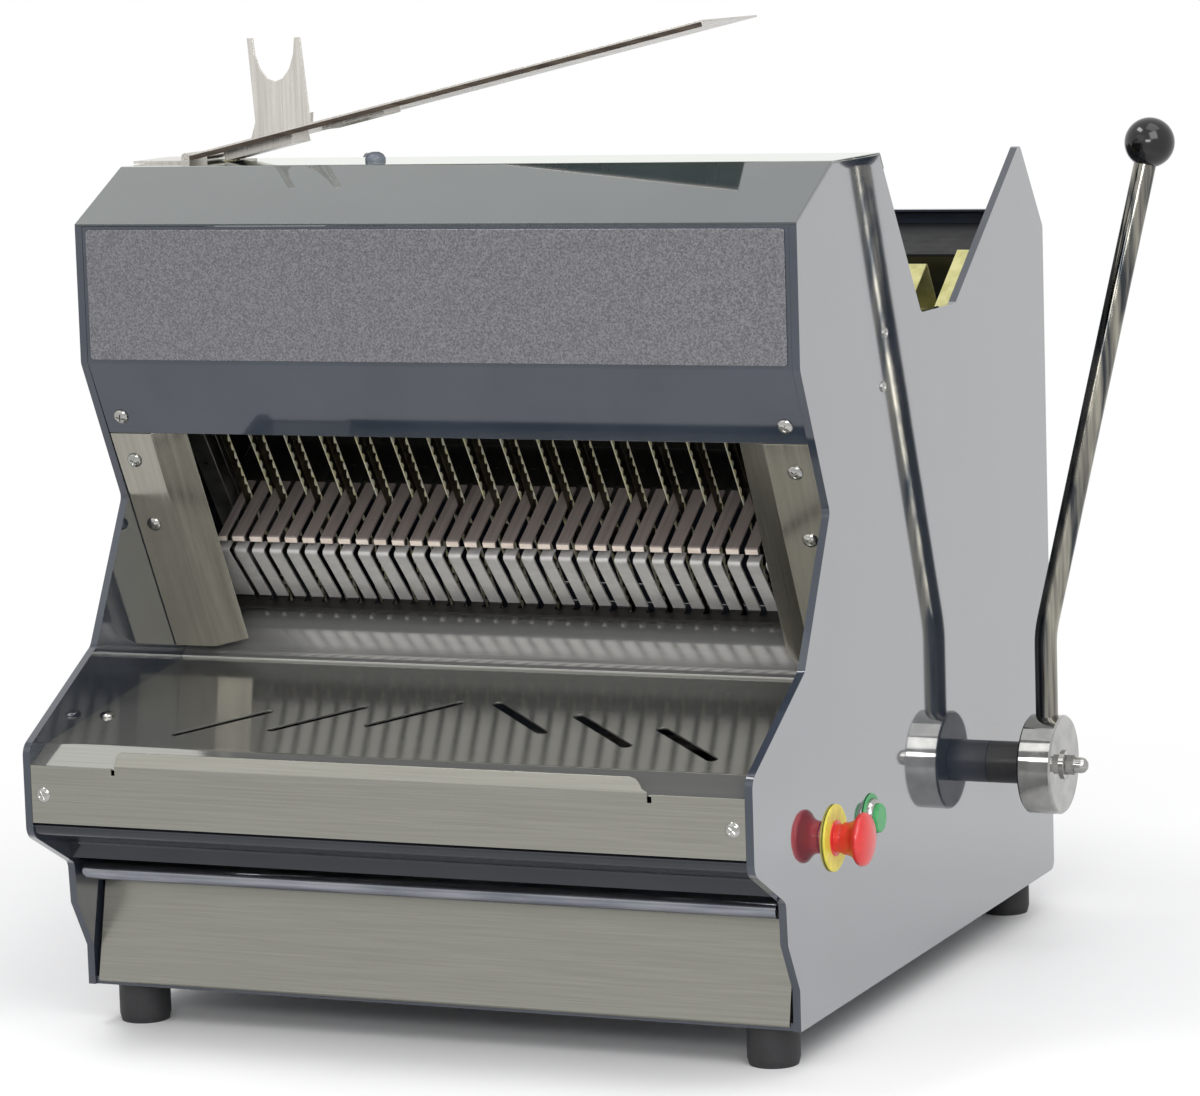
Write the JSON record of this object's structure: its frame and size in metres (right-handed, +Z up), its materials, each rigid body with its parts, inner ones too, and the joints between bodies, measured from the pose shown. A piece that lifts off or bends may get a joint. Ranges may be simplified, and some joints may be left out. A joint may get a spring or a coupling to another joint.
{
  "type": "frame bread slicer",
  "caption": "Tabletop frame bread slicer: sloping feed floor, two reciprocating blade frames, swing lever with pusher, outlet comb and tray, crumb drawer, bagging plate.",
  "frame": {"origin": "centre of the whole part's outline, on the plane the rubber feet stand on", "axes": "+X to the lever side, +Y to the back, +Z up"},
  "size_m": [0.7438, 0.6979, 0.7611],
  "materials": {
    "anthracite": "glossy dark grey enamel",
    "dark_plate": "fine grained dark film, no lettering",
    "stainless": "bright rolled stainless sheet",
    "steel": "plain machined steel",
    "zinc": "zinc plated, slightly dull",
    "chrome": "polished chrome",
    "rubber": "matt black rubber",
    "black_knob": "glossy black thermoset",
    "black_plastic": "matt black moulding",
    "nylon": "off-white nylon",
    "castings": "painted cast housings",
    "motor_paint": "dull grey-blue motor enamel",
    "red_plastic": "glossy red moulding",
    "yellow_plastic": "satin yellow moulding",
    "green_plastic": "glossy green moulding",
    "belt_rubber": "black fabric backed rubber"
  },
  "bodies": {
    "housing": {"side_panel_left": "anthracite", "side_panel_right": "anthracite", "top_cover": "anthracite", "front_fascia": "anthracite", "fascia_plate": "dark_plate", "rear_cover": "anthracite", "rear_deck": "anthracite", "base_plate": "anthracite", "rubber_feet": "rubber", "foot_fasteners": "zinc", "outlet_tray": "stainless", "tray_lip": "stainless", "front_rail": "anthracite", "catch_sheet": "stainless", "outlet_comb": "stainless", "feed_floor": "stainless", "floor_supports": "stainless", "bread_guards": "stainless", "screw_strips": "steel", "drawer_runners": "nylon", "guide_blocks": "nylon", "bearing_housings": "castings", "motor": "motor_paint", "motor_seat": "castings", "lever_bushes": "black_plastic", "estop_base": "yellow_plastic", "start_base": "zinc", "contact_blocks": "black_plastic", "bagging_bracket": "stainless", "stop_dome": "zinc", "cable_gland": "black_plastic", "casing_screws": "chrome", "drive_belt": "belt_rubber"},
    "drawer": {"drawer_front": "stainless", "drawer_box": "stainless"},
    "frame_a": {"blade_frame_a": "steel", "blades_a": "steel", "conrods_a": "castings"},
    "frame_b": {"blade_frame_b": "steel", "blades_b": "steel", "conrods_b": "castings"},
    "drive": {"drive_shaft": "steel", "eccentrics": "steel", "driven_pulley": "castings"},
    "rotor": {"motor_rotor": "steel"},
    "lever": {"lever_shaft": "steel", "crank_disc": "chrome", "crank_bar": "chrome", "crank_knob": "black_knob", "crank_nuts": "chrome", "lever_arms": "steel"},
    "pusher": {"pusher_plate": "stainless", "pusher_guides": "nylon"},
    "estop_stem_body": {"estop_stem": "black_plastic"},
    "estop_cap_body": {"estop_cap": "red_plastic"},
    "start_button_body": {"start_button": "green_plastic"},
    "bagging_plate_body": {"bagging_plate": "stainless", "bagging_fork": "stainless", "bagging_stay": "stainless"}
  },
  "joints": [
    {"name": "drawer_slide", "type": "slide", "parent": "housing", "child": "drawer", "axis": [0, -1, 0], "range_m": [0, 0.24]},
    {"name": "blade_frame_a_slide", "type": "slide", "parent": "housing", "child": "frame_a", "axis": [0, -0.5664, 0.8241], "range_m": [-0.012, 0.012]},
    {"name": "blade_frame_b_slide", "type": "slide", "parent": "housing", "child": "frame_b", "axis": [0, -0.5664, 0.8241], "range_m": [-0.012, 0.012]},
    {"name": "drive_spin", "type": "hinge", "parent": "housing", "child": "drive", "pos_m": [-0.06694, 0.09819, 0.14347], "axis": [1, 0, 0], "continuous": true},
    {"name": "motor_spin", "type": "hinge", "parent": "housing", "child": "rotor", "pos_m": [-0.06694, 0.268, 0.109], "axis": [1, 0, 0], "continuous": true},
    {"name": "lever_swing", "type": "hinge", "parent": "housing", "child": "lever", "pos_m": [-0.06694, 0.186, 0.152], "axis": [1, 0, 0], "range_deg": [-30.3, 0]},
    {"name": "pusher_slide", "type": "slide", "parent": "housing", "child": "pusher", "axis": [0, 0.8241, 0.5664], "range_m": [0, 0.205]},
    {"name": "estop_push", "type": "slide", "parent": "housing", "child": "estop_stem_body", "axis": [-1, 0, 0], "range_m": [0, 0.004], "stiffness_N_per_m": 300, "springref_m": -0.003},
    {"name": "estop_twist", "type": "hinge", "parent": "estop_stem_body", "child": "estop_cap_body", "pos_m": [0.23306, -0.184, 0.161], "axis": [1, 0, 0], "range_deg": [0, 30], "stiffness_Nm_per_rad": 0.05, "springref_deg": -5.73},
    {"name": "start_press", "type": "slide", "parent": "housing", "child": "start_button_body", "axis": [-1, 0, 0], "range_m": [0, 0.003], "stiffness_N_per_m": 300, "springref_m": -0.003},
    {"name": "bagging_tilt", "type": "hinge", "parent": "housing", "child": "bagging_plate_body", "pos_m": [-0.32594, -0.055, 0.6625], "axis": [0, -1, 0], "range_deg": [0, 70]}
  ],
  "couplings": [
    {"joint": "blade_frame_b_slide", "follows": "blade_frame_a_slide", "ratio": -1},
    {"joint": "motor_spin", "follows": "drive_spin", "ratio": 2.2044},
    {"joint": "pusher_slide", "follows": "lever_swing", "m_per_rad": -0.3865}
  ]
}
